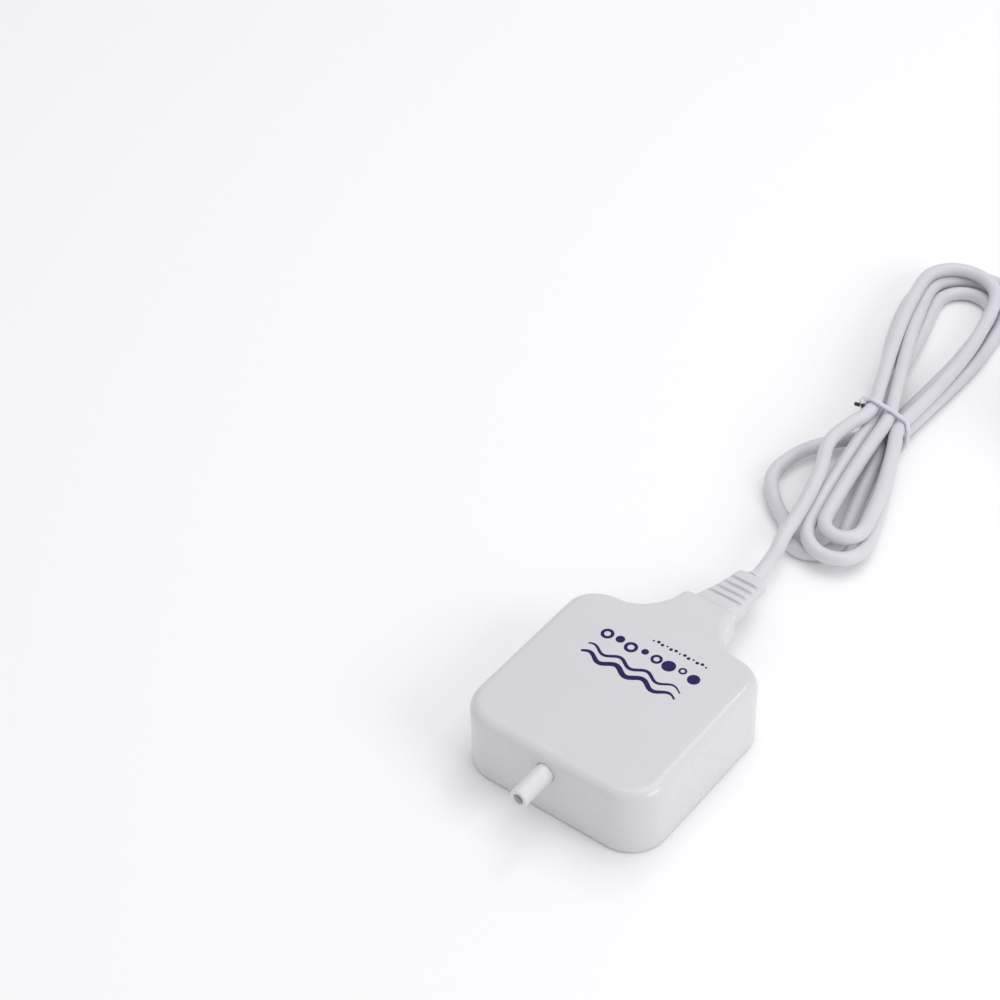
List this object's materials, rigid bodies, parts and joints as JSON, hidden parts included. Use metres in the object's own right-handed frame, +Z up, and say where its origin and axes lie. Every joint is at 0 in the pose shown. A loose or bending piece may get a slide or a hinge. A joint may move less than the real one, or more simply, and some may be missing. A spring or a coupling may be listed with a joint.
{
  "type": "aquarium air pump",
  "caption": "Small square piezo air pump for an aquarium, with a straight outlet nozzle, necked cord exit, ribbed strain relief, and a mains cord in a tied hank ending in a fused plug.",
  "frame": {"origin": "centre of the square body on its resting plane, at the outer face of the base plate", "axes": "+Z up out of the top, -Y along the outlet nozzle, +Y along the neck where the cord leaves, +X to the right seen from the nozzle side"},
  "size_m": [0.1245, 0.2708, 0.0417],
  "materials": {
    "case_plastic": "white moulded ABS, soft gloss",
    "nozzle_plastic": "white moulded plastic, satin",
    "block_plastic": "grey glass-filled plastic, matt",
    "silicone": "moulded silicone, matt",
    "flap_rubber": "thin black valve rubber",
    "piezo_brass": "rolled brass, satin",
    "piezo_silver": "silvered piezo ceramic, satin",
    "screw_steel": "zinc-plated steel",
    "foam": "open-cell foam, matt",
    "felt": "filter felt, matt",
    "board_laminate": "solder-masked glass laminate",
    "resistor_lacquer": "lacquered ceramic body",
    "capacitor_case": "moulded film capacitor case",
    "varistor_epoxy": "dipped epoxy",
    "lead_brown": "PVC insulation",
    "lead_blue": "PVC insulation",
    "lead_red": "PVC insulation",
    "lead_black": "PVC insulation",
    "cord_pvc": "soft white PVC, satin",
    "tie_plastic": "clear-white plastic over wire",
    "plug_pvc": "moulded white PVC, satin",
    "pin_brass": "polished brass",
    "fuse_ceramic": "glazed ceramic fuse body"
  },
  "bodies": {
    "housing": {"top_shell": "case_plastic", "base_plate": "case_plastic", "case_screw_front_left": "screw_steel", "case_screw_front_right": "screw_steel", "case_screw_rear_left": "screw_steel", "case_screw_rear_right": "screw_steel", "outlet_nozzle": "nozzle_plastic", "nozzle_seal": "silicone", "valve_block": "block_plastic", "valve_cover": "block_plastic", "diaphragm_ring": "silicone", "clamp_ring": "block_plastic", "module_screw_1": "screw_steel", "module_screw_2": "screw_steel", "module_screw_3": "screw_steel", "silencer_pad": "foam", "inlet_filter": "felt", "circuit_board": "board_laminate", "fuse_resistor": "resistor_lacquer", "film_capacitor": "capacitor_case", "varistor": "varistor_epoxy", "mains_lead_live": "lead_brown", "mains_lead_neutral": "lead_blue", "piezo_lead_plate": "lead_red", "piezo_lead_ceramic": "lead_black", "strain_relief": "cord_pvc", "cord_inner_end": "cord_pvc", "cord_tube": "cord_pvc", "cord_hank": "cord_pvc", "cord_tail": "cord_pvc", "cord_tie": "tie_plastic", "plug_body": "plug_pvc", "plug_live_pin": "pin_brass", "plug_neutral_pin": "pin_brass", "plug_earth_pin": "pin_brass"},
    "bender": {"piezo_plate": "piezo_brass", "piezo_ceramic": "piezo_silver"},
    "inlet_valve": {"inlet_flap": "flap_rubber"},
    "outlet_valve": {"outlet_flap": "flap_rubber"},
    "fuse_drawer": {"plug_fuse_carrier": "plug_pvc", "plug_fuse": "fuse_ceramic"}
  },
  "joints": [
    {"name": "bender_stroke", "type": "slide", "parent": "housing", "child": "bender", "axis": [0, 0, 1], "range_m": [-0.00015, 0.00015], "stiffness_N_per_m": 2000},
    {"name": "inlet_flap_hinge", "type": "hinge", "parent": "housing", "child": "inlet_valve", "pos_m": [0, 0.0058, 0.01255], "axis": [1, 0, 0], "range_deg": [0, 15], "stiffness_Nm_per_rad": 0.00001, "springref_deg": -5.73},
    {"name": "outlet_flap_hinge", "type": "hinge", "parent": "housing", "child": "outlet_valve", "pos_m": [0, -0.0065, 0.01475], "axis": [-1, 0, 0], "range_deg": [0, 15], "stiffness_Nm_per_rad": 0.00001, "springref_deg": -2.86},
    {"name": "fuse_carrier_slide", "type": "slide", "parent": "housing", "child": "fuse_drawer", "axis": [0, 0, 1], "range_m": [0, 0.012]}
  ]
}
